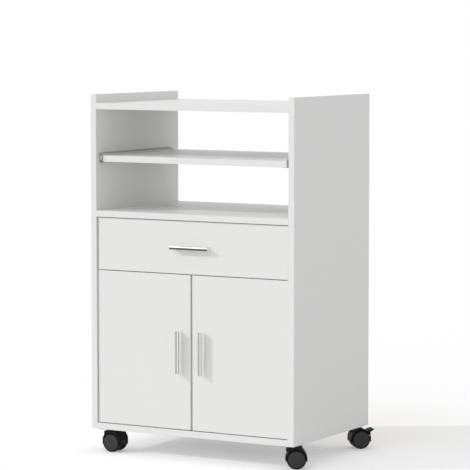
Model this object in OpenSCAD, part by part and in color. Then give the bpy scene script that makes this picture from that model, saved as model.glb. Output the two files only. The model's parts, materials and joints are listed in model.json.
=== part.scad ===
// Microwave cart: a flat-pack cabinet on twin-wheel casters, with an open bay,
// a pull-out shelf on roller slides, one wide drawer and a two-door cupboard.
// Millimetres, +Z up. The origin lies on the floor, midway between the side
// panels and midway between the front and rear edges of the boards.

/* [Cabinet] */
// Width over the side panels
cart_w = 600; // [540:5:760]
// Depth of the side panels
cart_d = 410; // [405:5:520]
// Thickness of the laminated boards
board_t = 16; // [15:1:19]
// Rise of the side panels above the top board
top_rise = 22; // [6:1:60]
// Clear height between pull-out shelf and top board
upper_bay_h = 120; // [60:1:320]
// Clear height between fixed shelf and pull-out shelf
lower_bay_h = 126.5; // [60:0.5:320]
// Height from the floor to the underside of the boards
caster_h = 60.5; // [58:0.5:90]

/* [Fronts] */
// Height of the doors
door_h = 398.5; // [300:0.5:520]
// Height of the drawer front
drawer_front_h = 135; // [130:1:220]
// Gap round the drawer front, and above and below the doors
front_gap = 2; // [1.8:0.1:3]
// Gap between a door and the side panel
door_side_gap = 1.4; // [1.4:0.1:2.5]
// Gap where the two doors meet
meeting_gap = 4.5; // [2:0.5:6]
// Recess of the fronts behind the edges of the side panels
front_recess = 4.5; // [1:0.5:8]
// Rounding of the upright edges of the fronts
front_edge_r = 2; // [1.6:0.1:2.4]

/* [Cupboard] */
// Depth of the rail between drawer and cupboard
rail_d = 60; // [55:1:120]
// Thickness of the back panel
back_t = 3; // [2.5:0.5:4]
// Inset of the back panel from the rear edges
back_inset = 12; // [8:1:16]
// Depth of the groove that holds the back panel
groove_depth = 6; // [3:0.5:8]
// Clearance of a sliding panel in its groove
groove_clear = 0.1; // [0.05:0.05:0.4]
// Height of the inner shelf above the bottom panel
inner_shelf_z = 179; // [140:1:230]
// Set-back of the inner shelf behind the doors
inner_shelf_setback = 20; // [16:1:80]
// Side clearance of the inner shelf
inner_shelf_clear = 1; // [0.5:0.5:2]
// Radius of a shelf pin
pin_r = 2.5; // [2:0.25:3]
// Length of a shelf pin inside the board, and again outside it
pin_l = 8; // [6:0.5:10]
// Distance of the peg holes from the front and rear edges of the inner shelf
peg_inset = 32; // [20:1:64]
// Pitch of the peg holes
peg_pitch = 32; // [25:1:40]
// Number of spare peg holes above and below the shelf pin
peg_spares = 2; // [1:1:3]

/* [Pull-out shelf] */
// Recess of the pull-out shelf behind the edges of the side panels
pull_recess = 13; // [4:1:30]
// Gap between the pull-out shelf and the rear edges of the side panels
pull_rear = 22; // [10:1:60]

/* [Drawer] */
// Height of the drawer's sides and back
box_h = 95; // [60:1:108]
// Thickness of the drawer's sides and back
box_t = 12; // [12:1:16]
// Thickness of the drawer's bottom
box_bottom_t = 4; // [3:0.5:6]
// Height of the drawer's bottom above the lower edge of its sides
box_bottom_lift = 8; // [6:1:16]
// Depth of the grooves for the drawer's bottom
box_groove = 5; // [3:0.5:7]
// Clearance between the front rail and the drawer's slides
rail_clear = 3; // [1:0.5:10]

/* [Roller slides] */
// Gap between the drawer's slides and the back panel
slide_rear = 24; // [20:0.5:60]
// Height of the cabinet member
slide_h = 27; // [26:0.5:34]
// Width of the space between side panel and sliding board
slide_gap = 13; // [12.5:0.1:14]
// Thickness of the slide's steel
slide_t = 1.2; // [1:0.1:1.5]
// Travel of the pull-out shelf and of the drawer
slide_travel = 260; // [150:5:280]
// Width of the cabinet member's lower flange
lower_flange = 11; // [10.5:0.1:11]
// Width of the cabinet member's upper flange
upper_flange = 8; // [4:0.5:10]
// Width of the flange below the sliding board
board_flange = 12; // [6:0.5:12]
// Height of the sliding board above the foot of the cabinet member
board_lift = 3.5; // [2.5:0.1:5]
// Radius of a roller
roller_r = 10; // [8:0.1:10]
// Width of a roller
roller_w = 6; // [5:0.1:6]
// Radius of a roller's rivet
rivet_r = 2; // [1.5:0.1:3]
// Running clearance of a roller on its rivet
rivet_clear = 0.06; // [0.02:0.01:0.1]
// Gap between a roller and the flange it runs on
roller_play = 0.3; // [0.2:0.05:0.4]
// Distance of a roller's rivet from the end of its member
rivet_inset = 12; // [11:0.5:16]
// Radius of a screw hole in a slide, hinge plate or caster plate
screw_hole_r = 2.25; // [1.5:0.25:2.5]

/* [Door hinges] */
// Distance of the hinge pin from the door's face and from its edge
pivot_inset = 4.3; // [4.1:0.1:4.5]
// Thickness of a hinge plate
hinge_plate_t = 1.2; // [1:0.1:1.4]
// Width of a hinge plate
hinge_plate_w = 21; // [18:1:40]
// Length of a hinge plate behind its pin
hinge_plate_l = 50; // [44:1:60]
// Radius of a hinge pin
hinge_pin_r = 1.8; // [1.5:0.1:2]
// Length of a hinge pin inside the door
hinge_pin_l = 10; // [6:1:16]
// Running clearance of a hinge pin in its bush
hinge_clear = 0.05; // [0.02:0.01:0.1]
// Outer radius of a hinge bush
bush_r = 3; // [2.8:0.1:3.1]
// Gap between a door's lower bush and its hinge plate
bush_play = 0.3; // [0.2:0.05:0.4]

/* [Catches] */
// Width of a magnet catch
catch_w = 44; // [30:1:60]
// Depth of a magnet catch
catch_d = 15; // [10:1:24]
// Height of a magnet catch
catch_h = 12; // [8:1:16]
// Distance of a catch from the middle of the cabinet
catch_x = 40; // [32:1:120]
// Thickness of a strike plate
strike_t = 1; // [0.5:0.1:2]
// Gap between strike plate and magnet
catch_play = 0.3; // [0.2:0.05:0.5]

/* [Handles] */
// Length of a handle
handle_l = 110; // [60:1:200]
// Projection of a handle from the front
handle_p = 18.5; // [12:0.5:35]
// Thickness of a handle's web
handle_web = 3; // [2:0.1:5]
// Width of a handle's front lip
handle_lip = 9; // [6:0.5:16]
// Thickness of a handle's front lip
handle_lip_t = 3.5; // [2.5:0.1:5]
// Width of a handle's foot against the front
handle_foot = 9; // [6:0.5:16]
// Thickness of a handle's foot
handle_foot_t = 1.5; // [1:0.1:3]
// Distance of a door handle from the middle of the cabinet
handle_x = 33.5; // [20:0.5:120]

/* [Cam fittings] */
// Radius of a cam housing
cam_r = 7.5; // [6:0.5:7.5]
// Depth of a cam housing
cam_h = 12.5; // [11:0.5:13]
// Distance of a cam from the end of its board
cam_reach = 34; // [24:1:36]
// Radius of a cam bolt
bolt_r = 3; // [2.5:0.1:3.5]
// Depth of a cam bolt in the side panel
bolt_depth = 11; // [8:0.5:12]
// Clearance of cams, bolts, bushes and pins in their holes
hole_clear = 0.05; // [0.02:0.01:0.1]
// Distance of the cams from the front and rear edges
cam_inset = 75; // [64:1:100]

/* [Casters] */
// Radius of a wheel
wheel_r = 25; // [20:0.5:25.5]
// Width of one wheel of a pair
wheel_w = 18.5; // [12:0.5:20]
// Radius of the groove round the cap of a wheel
cap_r = 21.5; // [15:0.5:22]
// Depth of the groove round the cap of a wheel
cap_groove = 0.9; // [0.4:0.1:1.5]
// Crown of the cap of a wheel
cap_crown = 0.8; // [0.2:0.1:2]
// Radius of a caster's axle
axle_r = 3; // [2:0.25:4]
// Running clearance of a wheel on its axle
axle_clear = 0.06; // [0.02:0.01:0.1]
// Distance from king pin to axle
trail = 20; // [16:0.5:24]
// Thickness of the hood's web between the wheels
web_t = 7; // [5:0.5:10]
// Side clearance of a wheel
wheel_play = 0.8; // [0.5:0.1:1.5]
// Clearance between wheel and hood
hood_play = 1.2; // [1:0.1:3]
// Thickness of the hood
hood_t = 1.6; // [1.4:0.1:4]
// Reach of the hood below the axle
hood_skirt = 6; // [3:0.5:8]
// Rounding of the hood's four corners, seen from above
hood_corner_r = 7; // [3:0.5:8]
// Slope of a hood's back, in degrees
hood_slope = 58; // [45:1:70]
// Slope of the back of a hood with a brake, in degrees
brake_hood_slope = 34; // [30:1:40]
// Radius of the king pin
king_r = 4; // [3:0.25:5]
// Length of the king pin inside the hood
king_l = 11; // [8:0.5:14]
// Running clearance of the king pin
king_clear = 0.06; // [0.02:0.01:0.1]
// Wall of the hood's boss round the king pin
boss_wall = 2; // [1.5:0.5:5]
// Gap between hood and caster plate
swivel_gap = 3; // [2.5:0.25:4]
// Side of the square caster plate
plate_side = 42; // [40:1:50]
// Distance of a caster plate's screw holes from its edges
plate_hole_inset = 9; // [5:1:10]
// Thickness of the caster plate
plate_t = 2.5; // [2:0.1:4]
// Distance of the king pins from the sides of the cabinet
caster_in_x = 32; // [28:1:80]
// Distance of the king pins from the front and the rear of the cabinet
caster_in_y = 31; // [28:1:80]
// Width of a brake pedal
pedal_w = 30; // [24:1:36]
// Radius of a brake pedal's barrel
pedal_r = 3.5; // [3:0.1:4]
// Radius of a brake pedal's pin
pedal_pin_r = 1.6; // [1.2:0.1:2]

/* [Hidden] */
// Corners of the cabinet, from front to rear, each with the heading of its
// caster at rest: the way its wheels trail, in degrees from +X.
CORNERS = ["front_left", "front_right", "rear_left", "rear_right"];
CORNER_X = [-1, 1, -1, 1];
CORNER_Y = [-1, -1, 1, 1];
HEADING = [0, 30, 138, 42];
BRAKED = [2, 3];
SIDES = ["left", "right"];
SIDE_X = [-1, 1];
CARCASS_NODES = ["side_panel_left", "side_panel_right", "top_board", "fixed_shelf", "front_rail",
    "bottom_panel", "back_panel", "inner_shelf", "shelf_pins", "cam_locks", "cam_bolts",
    "shelf_channel_left", "shelf_channel_right", "drawer_channel_left", "drawer_channel_right",
    "hinge_plates", "magnet_catches", "caster_plates"];
SLIDING_NODES = ["pull_out_shelf", "shelf_rail_left", "shelf_rail_right",
    "shelf_front_rollers", "shelf_rear_rollers",
    "drawer_front", "drawer_side_left", "drawer_side_right", "drawer_back", "drawer_bottom",
    "drawer_rail_left", "drawer_rail_right", "drawer_handle",
    "drawer_front_rollers", "drawer_rear_rollers"];
DOOR_NODES = [for (s = SIDES) for (n = ["door_", "door_handle_", "door_bushes_", "strike_plate_"])
    str(n, s)];
CASTER_NODES = [for (c = CORNERS) for (n = ["hood_", "axle_", "wheel_a_", "wheel_b_"]) str(n, c)];
PEDAL_NODES = [for (i = BRAKED) str("brake_pedal_", CORNERS[i])];

$fn = 96;
cut = 1;   // how far a cutting shape runs past the face it opens

// Outline of the cabinet
half_w = cart_w / 2;
in_x = half_w - board_t;
front_y = -cart_d / 2;
rear_y = cart_d / 2;
face_y = front_y + front_recess;
front_rear_y = face_y + board_t;
back_y = rear_y - back_inset - back_t;
pull_d = cart_d - pull_recess - pull_rear;

// Heights, from the floor up
base_z = caster_h;
floor_z = base_z + board_t;
door_z = floor_z + front_gap;
door_top_z = door_z + door_h;
hinge_gap = (front_gap - hinge_plate_t) / 2;
rail_z = door_top_z + front_gap - hinge_gap;
drawer_front_z = door_top_z + front_gap;
shelf_z = drawer_front_z + drawer_front_h + front_gap;
shelf_top_z = shelf_z + board_t;
pull_z = shelf_top_z + lower_bay_h;
top_z = pull_z + board_t + upper_bay_h;
panel_top_z = top_z + board_t + top_rise;

// Inner shelf and its pins
inner_z = floor_z + inner_shelf_z;
inner_front_y = front_rear_y + inner_shelf_setback;
inner_rear_y = back_y - inner_shelf_clear;
peg_ys = [inner_front_y + peg_inset, inner_rear_y - peg_inset];

// Roller slides, in the slide's own frame: x from the side panel inwards,
// y from the front end, z from the foot of the cabinet member
drawer_slide_y = front_rear_y + 0.5;
slide_l = back_y - slide_rear - drawer_slide_y;
slide_rail_l = slide_l - slide_t - 1;
slide_rail_top = slide_h - slide_t - 1.3;
front_roller_z = slide_rail_top - slide_t - roller_play - roller_r;
rear_roller_z = slide_t + roller_play + roller_r;
rear_roller_y = slide_rail_l - rivet_inset;
roller_front_x = slide_t + 0.8;
roller_rear_x = slide_gap - slide_t - 1.2 - roller_w;
rivet_head = 1.2;
rivet_head_r = rivet_r + 1.5;
stop_y = rear_roller_y - slide_travel - rivet_head_r - 0.5;
pull_slide_z = pull_z - board_lift;
pull_slide_y = front_y + pull_recess + 1;
drawer_slide_z = rail_z + board_t + rail_clear;

// Drawer box
box_z = drawer_slide_z + board_lift;
box_x = in_x - slide_gap;
box_l = slide_l;
box_bottom_z = box_z + box_bottom_lift;
drawer_w = 2 * (in_x - front_gap);

// Doors
door_w = in_x - door_side_gap - meeting_gap / 2;
pivot_x = in_x - door_side_gap - pivot_inset;
pivot_y = face_y + pivot_inset;
bush_l = hinge_pin_l + 1;
bush_flange = front_gap - hinge_plate_t - bush_play;
catch_y = front_rear_y + strike_t + catch_play;

// Casters, in the caster's own frame: king pin on the z axis, wheels trailing
// along +x, floor at z = 0
hub_wall = 5;
axle_end = 3;
hood_in_r = wheel_r + hood_play;
hood_r = hood_in_r + hood_t;
wheel_y = web_t / 2 + wheel_play;
hood_half_w = wheel_y + wheel_w + 0.5;
boss_r = king_r + boss_wall;
boss_top = caster_h - plate_t - swivel_gap;
king_end = boss_top - king_l;
axle_half_l = wheel_y + wheel_w - axle_end;

// Brake pedal: its pin lies on a circle round the axle that keeps the barrel
// clear of the wheels, and it moves in a window of the hood
pedal_gap = 0.5;
lug_turn = 42;
lug_wall = 2;
lug_inset = 0.2;
lug_reach = wheel_r + pedal_gap + pedal_r;
lug_x = trail + lug_reach * cos(lug_turn);
lug_z = wheel_r + lug_reach * sin(lug_turn);
lug_r = pedal_pin_r + lug_wall;
lug_t = web_t - 2 * lug_inset;
pedal_slot = web_t + 0.6;
window_w = pedal_w + 1;
window_low = 15;
window_high = 54;

// ---------- Boards ----------

// A board between two corners given as [x, y, z]
module board(low, high) {
    translate(low)
        cube(high - low);
}

// A front with rounded upright edges, between x0 and x1
module front_board(x0, x1, z0, h) {
    r = front_edge_r;
    translate([0, 0, z0])
        linear_extrude(h)
            union() {
                translate([x0 + r, face_y])
                    square([x1 - x0 - 2 * r, board_t]);
                translate([x0, face_y + r])
                    square([x1 - x0, board_t - 2 * r]);
                for (x = [x0 + r, x1 - r], y = [face_y + r, face_y + board_t - r])
                    translate([x, y])
                        circle(r, $fn = 48);
            }
}

// Heights of the boards that cam fittings join to the side panels, each with
// the places of its cams from front to rear
rail_cam_inset = 22;
cam_rows = [
    [base_z, [front_y + cam_inset, rear_y - cam_inset]],
    [shelf_z, [front_y + cam_inset, rear_y - cam_inset]],
    [top_z, [front_y + cam_inset, rear_y - cam_inset]],
    [rail_z, [front_rear_y + rail_d - rail_cam_inset]]
];
bolt_lift = board_t / 2;

// Cam housings of one board, grown by a clearance
module cams(row, clear) {
    for (y = row[1], s = SIDE_X)
        translate([s * (in_x - cam_reach), y, row[0] - (clear > 0 ? cut : 0)])
            cylinder(h = cam_h + (clear > 0 ? cut + clear : 0), r = cam_r + clear);
}

// Cam bolts of one board, from inside the side panels to the cams
module bolts(row, clear) {
    bolt_l = bolt_depth + cam_reach - cam_r - 2 * hole_clear;
    for (y = row[1], s = SIDE_X)
        translate([s * (in_x + bolt_depth), y, row[0] + bolt_lift])
            rotate([0, -90 * s, 0])
                translate([0, 0, -clear])
                    cylinder(h = bolt_l + (clear > 0 ? clear + cam_r : 0), r = bolt_r + clear);
}

module fitting_holes(row) {
    cams(row, hole_clear);
    bolts(row, hole_clear);
}

// A blind hole into the inner face of a side panel
module side_hole(s, y, z, r, depth) {
    translate([s * (in_x + depth), y, z])
        rotate([0, -90 * s, 0])
            cylinder(h = depth + cut, r = r);
}

module side_panel(s) {
    x0 = s > 0 ? in_x : -half_w;
    color("white")
        difference() {
            board([x0, front_y, base_z], [x0 + board_t, rear_y, panel_top_z]);
            // groove for the back panel
            board([s > 0 ? in_x - cut : -in_x - groove_depth, back_y - groove_clear, base_z - cut],
                [s > 0 ? in_x + groove_depth : -in_x + cut, back_y + back_t + groove_clear,
                    shelf_z + groove_depth]);
            for (row = cam_rows)
                bolts(row, hole_clear);
            for (y = peg_ys, k = [-peg_spares:peg_spares])
                side_hole(s, y, inner_z - pin_r + k * peg_pitch, pin_r + hole_clear, pin_l + 1);
        }
}

module side_panel_left() {
    side_panel(-1);
}

module side_panel_right() {
    side_panel(1);
}

module top_board() {
    color("white")
        difference() {
            board([-in_x, front_y, top_z], [in_x, rear_y, top_z + board_t]);
            fitting_holes(cam_rows[2]);
        }
}

module fixed_shelf() {
    color("white")
        difference() {
            board([-in_x, front_y, shelf_z], [in_x, rear_y, shelf_top_z]);
            board([-in_x - cut, back_y - groove_clear, shelf_z - cut],
                [in_x + cut, back_y + back_t + groove_clear, shelf_z + groove_depth]);
            fitting_holes(cam_rows[1]);
        }
}

module front_rail() {
    color("white")
        difference() {
            board([-in_x, front_rear_y + 1, rail_z],
                [in_x, front_rear_y + 1 + rail_d, rail_z + board_t]);
            fitting_holes(cam_rows[3]);
        }
}

module bottom_panel() {
    color("white")
        difference() {
            board([-in_x, front_y, base_z], [in_x, back_y - groove_clear, floor_z]);
            fitting_holes(cam_rows[0]);
        }
}

module back_panel() {
    color("whitesmoke")
        board([-in_x - groove_depth + 0.5, back_y, base_z],
            [in_x + groove_depth - 0.5, back_y + back_t, shelf_z + groove_depth - 0.5]);
}

module inner_shelf() {
    color("white")
        board([-in_x + inner_shelf_clear, inner_front_y, inner_z],
            [in_x - inner_shelf_clear, inner_rear_y, inner_z + board_t]);
}

module shelf_pins() {
    color("silver")
        for (s = SIDE_X, y = peg_ys)
            translate([s * (in_x + pin_l), y, inner_z - pin_r])
                rotate([0, -90 * s, 0])
                    cylinder(h = 2 * pin_l, r = pin_r);
}

// Each cam housing has a cross recess for the screwdriver
module cam_locks() {
    color("silver")
        for (row = cam_rows)
            difference() {
                cams(row, 0);
                for (y = row[1], s = SIDE_X, a = [0, 90])
                    translate([s * (in_x - cam_reach), y, row[0]])
                        rotate([0, 0, a])
                            cube([7, 1.6, 5], center = true);
            }
}

module cam_bolts() {
    color("silver")
        for (row = cam_rows)
            bolts(row, 0);
}

// ---------- Roller slides ----------

// Puts children, drawn for the left side, at the left or right side panel
module at_side(s, y, z) {
    translate([0, y, z])
        mirror([s > 0 ? 1 : 0, 0, 0])
            translate([-in_x, 0, 0])
                children();
}

// A rivet across the slide from x0 to x1, with its head at x1
module rivet(x0, x1, y, z) {
    translate([min(x0, x1), y, z])
        rotate([0, 90, 0])
            cylinder(h = abs(x1 - x0), r = rivet_r);
    translate([x1 > x0 ? x1 - rivet_head : x1, y, z])
        rotate([0, 90, 0])
            cylinder(h = rivet_head, r = rivet_head_r);
}

// Cabinet member: a C section with the front roller's rivet, a pressed stop
// for the rear roller's rivet and an upturned rear end
module channel() {
    difference() {
        union() {
            cube([slide_t, slide_l, slide_h]);
            cube([lower_flange, slide_l, slide_t]);
            translate([0, 0, slide_h - slide_t])
                cube([upper_flange, slide_l, slide_t]);
            translate([0, slide_l - slide_t, 0])
                cube([lower_flange, slide_t, rear_roller_z + 2]);
            translate([0, stop_y - 6, rear_roller_z - 4])
                cube([roller_rear_x - 0.8, 6, 8]);
            rivet(0, roller_front_x + roller_w + 0.3 + rivet_head, rivet_inset, front_roller_z);
        }
        for (k = [0.15, 0.5, 0.85])
            translate([-cut, k * slide_l, slide_h / 2])
                rotate([0, 90, 0])
                    cylinder(h = slide_t + 2 * cut, r = screw_hole_r);
    }
}

// Rail under and beside the sliding board, with the rear roller's rivet
module slide_rail() {
    web_x = slide_gap - slide_t;
    flange_x = 3;
    foot_z = board_lift - slide_t;
    translate([web_x, 0, foot_z])
        cube([slide_t, slide_rail_l, slide_rail_top - foot_z]);
    translate([web_x, 0, foot_z])
        cube([slide_t + board_flange, slide_rail_l, slide_t]);
    translate([flange_x, 0, slide_rail_top - slide_t])
        cube([slide_gap - flange_x, slide_rail_l, slide_t]);
    rivet(slide_gap, roller_rear_x - 0.4 - rivet_head, rear_roller_y, rear_roller_z);
}

// A nylon roller with a shallow hub on both faces
module roller() {
    bore_r = rivet_r + rivet_clear;
    dish = 0.8;
    hub_r = rivet_r + 2;
    rotate([0, 90, 0])
        rotate_extrude()
            polygon([
                [bore_r, 0], [hub_r, 0], [hub_r + dish, dish],
                [roller_r - 2, dish], [roller_r - 1.2, 0], [roller_r - 0.5, 0], [roller_r, 0.5],
                [roller_r, roller_w - 0.5], [roller_r - 0.5, roller_w], [roller_r - 1.2, roller_w],
                [roller_r - 2, roller_w - dish], [hub_r + dish, roller_w - dish],
                [hub_r, roller_w], [bore_r, roller_w]
            ]);
}

module front_rollers(y, z) {
    color("white")
        for (s = SIDE_X)
            at_side(s, y, z)
                translate([roller_front_x, rivet_inset, front_roller_z])
                    roller();
}

module rear_rollers(y, z) {
    color("white")
        for (s = SIDE_X)
            at_side(s, y, z)
                translate([roller_rear_x, rear_roller_y, rear_roller_z])
                    roller();
}

module shelf_channel_left() {
    color("gainsboro")
        at_side(-1, pull_slide_y, pull_slide_z)
            channel();
}

module shelf_channel_right() {
    color("gainsboro")
        at_side(1, pull_slide_y, pull_slide_z)
            channel();
}

module drawer_channel_left() {
    color("gainsboro")
        at_side(-1, drawer_slide_y, drawer_slide_z)
            channel();
}

module drawer_channel_right() {
    color("gainsboro")
        at_side(1, drawer_slide_y, drawer_slide_z)
            channel();
}

// ---------- Pull-out shelf ----------

module pull_out_shelf() {
    y0 = front_y + pull_recess;
    color("white")
        board([-in_x + slide_gap, y0, pull_z], [in_x - slide_gap, y0 + pull_d, pull_z + board_t]);
}

module shelf_rail_left() {
    color("gainsboro")
        at_side(-1, pull_slide_y, pull_slide_z)
            slide_rail();
}

module shelf_rail_right() {
    color("gainsboro")
        at_side(1, pull_slide_y, pull_slide_z)
            slide_rail();
}

module shelf_front_rollers() {
    front_rollers(pull_slide_y, pull_slide_z);
}

module shelf_rear_rollers() {
    rear_rollers(pull_slide_y, pull_slide_z);
}

// ---------- Drawer ----------

// The drawer's bottom with its clearance in the grooves
module bottom_sheet(clear) {
    board([-box_x + box_t - box_groove - clear, front_rear_y - box_groove - clear,
            box_bottom_z - clear],
        [box_x - box_t + box_groove + clear, front_rear_y + box_l + (clear > 0 ? cut : 0),
            box_bottom_z + box_bottom_t + clear]);
}

module drawer_front() {
    color("white")
        difference() {
            front_board(-drawer_w / 2, drawer_w / 2, drawer_front_z, drawer_front_h);
            bottom_sheet(groove_clear);
        }
}

module drawer_side(s) {
    x0 = s > 0 ? box_x - box_t : -box_x;
    color("white")
        difference() {
            board([x0, front_rear_y, box_z], [x0 + box_t, front_rear_y + box_l, box_z + box_h]);
            bottom_sheet(groove_clear);
        }
}

module drawer_side_left() {
    drawer_side(-1);
}

module drawer_side_right() {
    drawer_side(1);
}

module drawer_back() {
    color("white")
        board([-box_x + box_t, front_rear_y + box_l - box_t, box_bottom_z + box_bottom_t],
            [box_x - box_t, front_rear_y + box_l, box_z + box_h]);
}

module drawer_bottom() {
    color("whitesmoke")
        bottom_sheet(0);
}

module drawer_rail_left() {
    color("gainsboro")
        at_side(-1, drawer_slide_y, drawer_slide_z)
            slide_rail();
}

module drawer_rail_right() {
    color("gainsboro")
        at_side(1, drawer_slide_y, drawer_slide_z)
            slide_rail();
}

module drawer_front_rollers() {
    front_rollers(drawer_slide_y, drawer_slide_z);
}

module drawer_rear_rollers() {
    rear_rollers(drawer_slide_y, drawer_slide_z);
}

// ---------- Handles ----------

// Upright profile handle centred on the origin, its foot on the plane y = 0:
// a foot strip, a web and a front lip with a rounded face
module handle() {
    lip_r = (handle_lip * handle_lip / 4 + handle_lip_t * handle_lip_t) / (2 * handle_lip_t);
    bulge_r = lip_r * 1.3;
    translate([0, 0, -handle_l / 2])
        linear_extrude(handle_l)
            union() {
                translate([-handle_foot / 2, -handle_foot_t])
                    square([handle_foot, handle_foot_t]);
                translate([-handle_web / 2, -handle_p + handle_lip_t / 2])
                    square([handle_web, handle_p - handle_lip_t / 2]);
                intersection() {
                    translate([-handle_lip / 2, -handle_p])
                        square([handle_lip, handle_lip_t]);
                    translate([0, bulge_r - handle_p])
                        circle(bulge_r, $fn = 128);
                }
            }
}

module drawer_handle() {
    color("silver")
        translate([0, face_y, drawer_front_z + drawer_front_h / 2])
            rotate([0, 90, 0])
                handle();
}

module door_handle(s) {
    color("silver")
        translate([s * handle_x, face_y, door_z + door_h / 2])
            handle();
}

module door_handle_left() {
    door_handle(-1);
}

module door_handle_right() {
    door_handle(1);
}

// ---------- Doors ----------

module door(s) {
    near = meeting_gap / 2;
    far = near + door_w;
    color("white")
        difference() {
            front_board(s > 0 ? near : -far, s > 0 ? far : -near, door_z, door_h);
            for (z = [door_z - cut, door_top_z - bush_l - hole_clear])
                translate([s * pivot_x, pivot_y, z])
                    cylinder(h = bush_l + cut + hole_clear, r = bush_r + hole_clear);
        }
}

module door_left() {
    door(-1);
}

module door_right() {
    door(1);
}

// Nylon bushes in the door's ends; the lower one has a flange that bears on
// the hinge plate
module door_bushes(s) {
    color("white")
        translate([s * pivot_x, pivot_y, 0]) {
            difference() {
                union() {
                    translate([0, 0, door_z])
                        cylinder(h = bush_l, r = bush_r);
                    translate([0, 0, door_z - bush_flange])
                        cylinder(h = bush_flange, r = bush_r + 1);
                }
                translate([0, 0, door_z - bush_flange - cut])
                    cylinder(h = bush_flange + cut + hinge_pin_l + 0.5, r = hinge_pin_r + hinge_clear);
            }
            difference() {
                translate([0, 0, door_top_z - bush_l])
                    cylinder(h = bush_l, r = bush_r);
                translate([0, 0, door_top_z - hinge_pin_l - 0.5])
                    cylinder(h = hinge_pin_l + 0.5 + cut, r = hinge_pin_r + hinge_clear);
            }
        }
}

module door_bushes_left() {
    door_bushes(-1);
}

module door_bushes_right() {
    door_bushes(1);
}

// Outline of a hinge plate, drawn for the left side with its pin at the origin
module hinge_plate() {
    nose_r = pivot_inset - 1;
    neck_l = front_rear_y - pivot_y + 4;
    holes_from_rear = [22, 7];
    wide_x = -(in_x - pivot_x) + 0.5;
    difference() {
        linear_extrude(hinge_plate_t)
            union() {
                circle(nose_r);
                translate([-nose_r, 0])
                    square([2 * nose_r, neck_l + cut]);
                translate([wide_x, neck_l])
                    square([hinge_plate_w, hinge_plate_l - neck_l]);
            }
        for (inset = holes_from_rear)
            translate([wide_x + hinge_plate_w / 2, hinge_plate_l - inset, -cut])
                cylinder(h = hinge_plate_t + 2 * cut, r = screw_hole_r);
    }
}

module hinge_plates() {
    pin_end = hinge_plate_t / 2;
    color("silver")
        for (s = SIDE_X)
            mirror([s > 0 ? 1 : 0, 0, 0])
                translate([-pivot_x, pivot_y, 0]) {
                    translate([0, 0, floor_z]) {
                        hinge_plate();
                        translate([0, 0, pin_end])
                            cylinder(h = door_z + hinge_pin_l - floor_z - pin_end, r = hinge_pin_r);
                    }
                    translate([0, 0, rail_z - hinge_plate_t]) {
                        hinge_plate();
                        translate([0, 0, door_top_z - hinge_pin_l - rail_z + hinge_plate_t])
                            cylinder(h = hinge_pin_l + hinge_gap + pin_end, r = hinge_pin_r);
                    }
                }
}

// Magnet catches under the front rail
module magnet_catches() {
    color("white")
        for (s = SIDE_X)
            translate([s * catch_x - catch_w / 2, catch_y, rail_z - catch_h])
                cube([catch_w, catch_d, catch_h]);
}

module strike_plate(s) {
    color("silver")
        translate([s * catch_x - catch_w / 2, front_rear_y, rail_z - catch_h - 2])
            cube([catch_w, strike_t, catch_h]);
}

module strike_plate_left() {
    strike_plate(-1);
}

module strike_plate_right() {
    strike_plate(1);
}

// ---------- Casters ----------

// Puts children, drawn in a caster's own frame, at corner i
module at_corner(i) {
    translate([CORNER_X[i] * (half_w - caster_in_x), CORNER_Y[i] * (cart_d / 2 - caster_in_y), 0])
        rotate([0, 0, HEADING[i]])
            children();
}

module caster_plates() {
    hole_at = plate_side / 2 - plate_hole_inset;
    color("dimgray")
        for (i = [0:3])
            translate([CORNER_X[i] * (half_w - caster_in_x),
                    CORNER_Y[i] * (cart_d / 2 - caster_in_y), 0])
                difference() {
                    union() {
                        translate([-plate_side / 2, -plate_side / 2, caster_h - plate_t])
                            cube([plate_side, plate_side, plate_t]);
                        translate([0, 0, king_end])
                            cylinder(h = caster_h - king_end - plate_t / 2, r = king_r);
                    }
                    for (x = [-hole_at, hole_at], y = [-hole_at, hole_at])
                        translate([x, y, caster_h - plate_t - cut])
                            cylinder(h = plate_t + 2 * cut, r = screw_hole_r);
                }
}

// Side view of a part of the hood, as a plate of the given width
module across(width) {
    rotate([90, 0, 0])
        translate([0, 0, -width / 2])
            linear_extrude(width)
                children();
}

// Side view of the hood: the upper part of a disc over the wheels with a flat
// top and a sloping back that runs into the disc
module hood_outline(slope) {
    top = boss_top - wheel_r;
    top_x = (hood_r - top * cos(slope)) / sin(slope);
    translate([trail, wheel_r])
        union() {
            intersection() {
                circle(hood_r);
                translate([-hood_r - cut, -hood_skirt])
                    square([2 * (hood_r + cut), hood_r + hood_skirt + cut]);
            }
            polygon([[0, 0], [hood_r * sin(slope), hood_r * cos(slope)], [top_x, top],
                [-trail, top], [-trail, 0]]);
        }
}

// Outline of the hood seen from above
module hood_plan() {
    r = hood_corner_r;
    translate([trail, 0])
        union() {
            square([2 * (hood_r - r), 2 * hood_half_w], center = true);
            square([2 * hood_r, 2 * (hood_half_w - r)], center = true);
            for (x = [r - hood_r, hood_r - r], y = [r - hood_half_w, hood_half_w - r])
                translate([x, y])
                    circle(r, $fn = 64);
        }
}

// Window in the hood for the brake pedal, on both sides of the web
module pedal_window() {
    reach = 2 * hood_r;
    for (s = SIDE_X)
        translate([0, s * (window_w + web_t) / 4, 0])
            across((window_w - web_t) / 2)
                translate([trail, wheel_r])
                    polygon([[0, 0], [reach * cos(window_low), reach * sin(window_low)],
                        [reach * cos(window_high), reach * sin(window_high)]]);
}

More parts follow.
